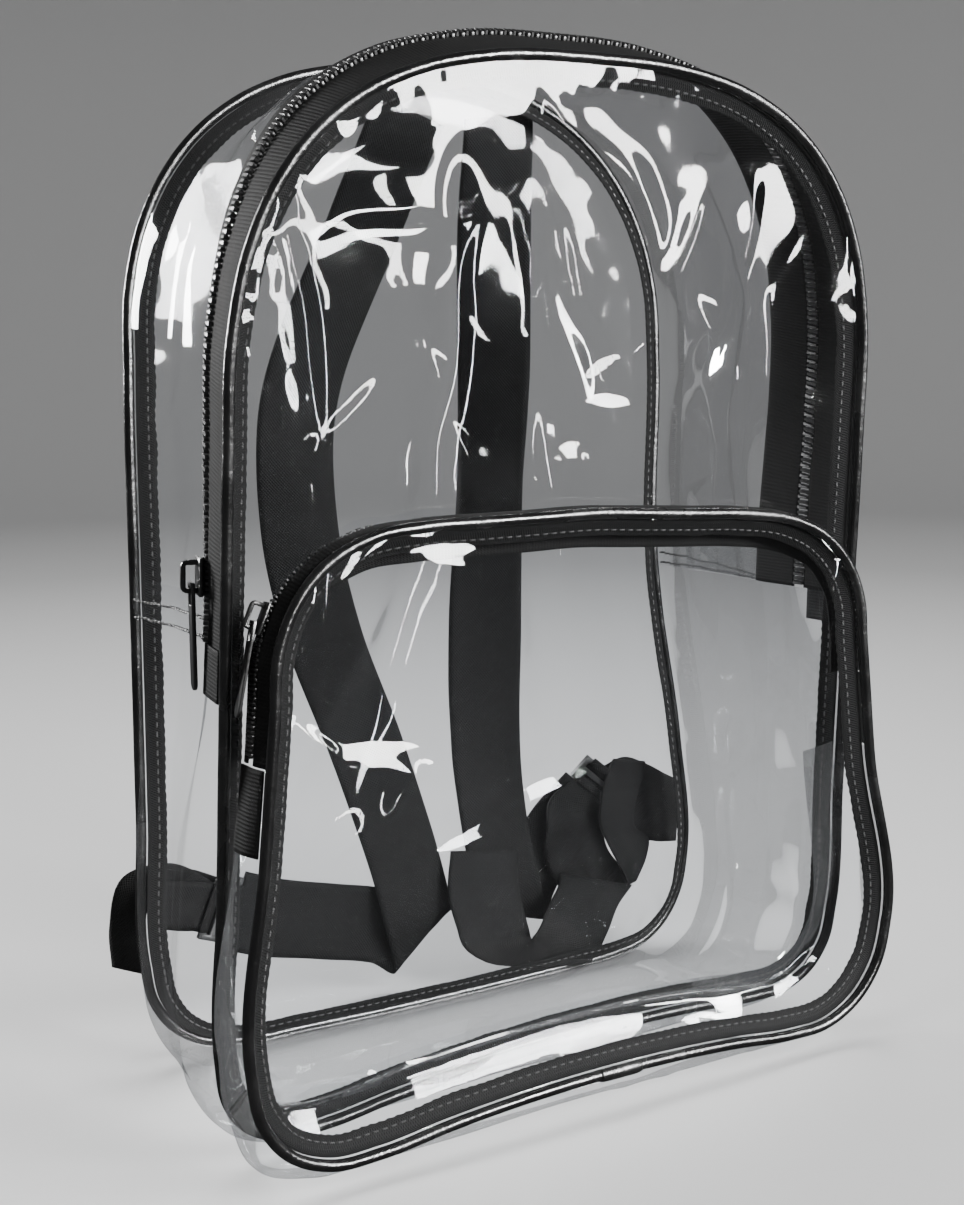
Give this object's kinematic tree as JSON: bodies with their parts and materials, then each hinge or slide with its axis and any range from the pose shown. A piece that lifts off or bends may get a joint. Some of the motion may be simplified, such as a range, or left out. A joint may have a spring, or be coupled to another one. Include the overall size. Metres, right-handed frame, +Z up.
{
  "type": "clear backpack",
  "caption": "Backpack of clear film with a zipped front pocket, a main zip over its rounded top, piped seams and flat webbing straps.",
  "frame": {"origin": "middle of the bottom of the bounding box, on the floor that the bag stands on", "axes": "+X to the right of the front, +Y from the front panel to the back panel, +Z up"},
  "size_m": [0.3324, 0.218, 0.4525],
  "materials": {
    "film": "clear, glossy",
    "piping": "glossy",
    "binding": "woven, satin",
    "zip_tape": "woven, matte",
    "zip_teeth": "satin",
    "slider_enamel": "glossy",
    "webbing": "woven, matte",
    "nylon": "satin"
  },
  "bodies": {
    "bag": {"front_panel": "film", "back_panel": "film", "pocket_front": "film", "lower_gusset": "film", "upper_gusset": "film", "gusset_lap_right": "film", "gusset_lap_left": "film", "pocket_gusset": "film", "front_piping": "piping", "back_piping": "piping", "pocket_piping": "piping", "front_binding": "binding", "back_binding": "binding", "pocket_binding": "binding", "piping_sleeve_front": "binding", "piping_sleeve_pocket": "binding", "main_zip_tape_front": "zip_tape", "main_zip_tape_rear": "zip_tape", "main_zip_end_right": "zip_tape", "main_zip_end_left": "zip_tape", "pocket_zip_tape_front": "zip_tape", "pocket_zip_tape_rear": "zip_tape", "pocket_zip_end_right": "zip_tape", "pocket_zip_end_left": "zip_tape", "main_zip_teeth": "zip_teeth", "pocket_zip_teeth": "zip_teeth", "main_slider": "slider_enamel", "pocket_slider": "slider_enamel", "shoulder_strap_left": "webbing", "shoulder_strap_right": "webbing", "webbing_tail_left": "webbing", "lower_webbing_left": "webbing", "lower_webbing_right": "webbing", "adjuster_left": "nylon", "adjuster_right": "nylon"},
    "main_pull": {"main_pull": "slider_enamel"},
    "pocket_pull": {"pocket_pull": "slider_enamel"}
  },
  "joints": [
    {"name": "main_pull_hinge", "type": "hinge", "parent": "bag", "child": "main_pull", "pos_m": [-0.15637, -0.0535, 0.2359], "axis": [0.1656, 0.9854, 0.0386], "range_deg": [0, 135]},
    {"name": "pocket_pull_hinge", "type": "hinge", "parent": "bag", "child": "pocket_pull", "pos_m": [-0.14683, -0.09054, 0.22543], "axis": [0.1573, 0.983, -0.0946], "range_deg": [0, 70]}
  ]
}
